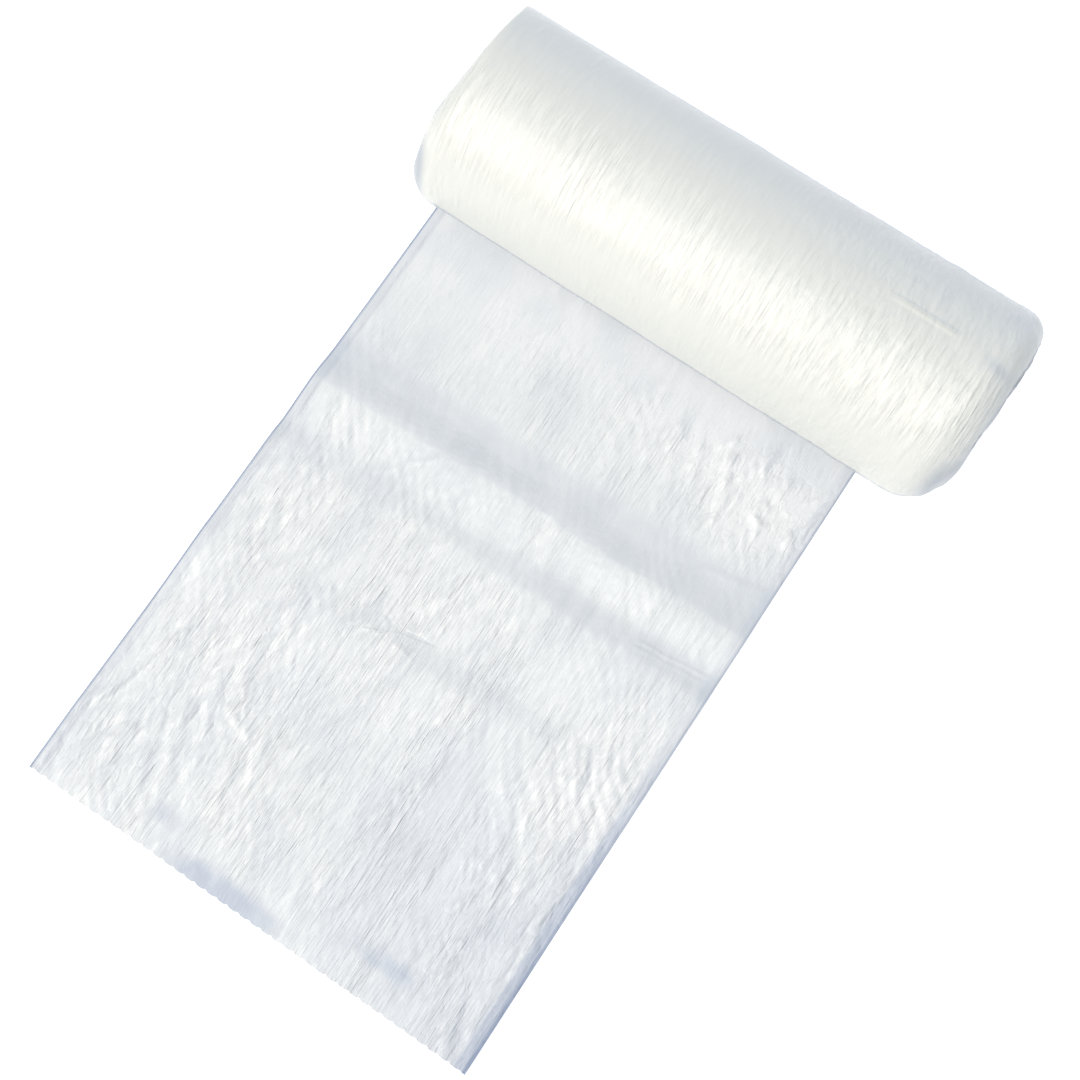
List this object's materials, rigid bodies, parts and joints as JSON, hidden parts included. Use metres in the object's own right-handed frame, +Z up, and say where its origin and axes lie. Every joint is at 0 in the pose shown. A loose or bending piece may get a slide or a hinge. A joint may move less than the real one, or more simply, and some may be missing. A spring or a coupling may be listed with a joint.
{
  "type": "bin bag roll",
  "caption": "Coreless roll of thin milky plastic bin bags lying on its side, with the outermost bag drawn off flat in front of it.",
  "frame": {"origin": "middle of the underside of the part's box, on the table that it rests on", "axes": "X along the roll, the drawn-off bag points to -Y with the roll at +Y, +Z up from the table"},
  "size_m": [0.292, 0.4365, 0.1045],
  "materials": {
    "milky_film": "satin high-density polyethylene film, milky and slightly see-through"
  },
  "bodies": {
    "root": {"bag_roll": "milky_film"}
  },
  "joints": []
}
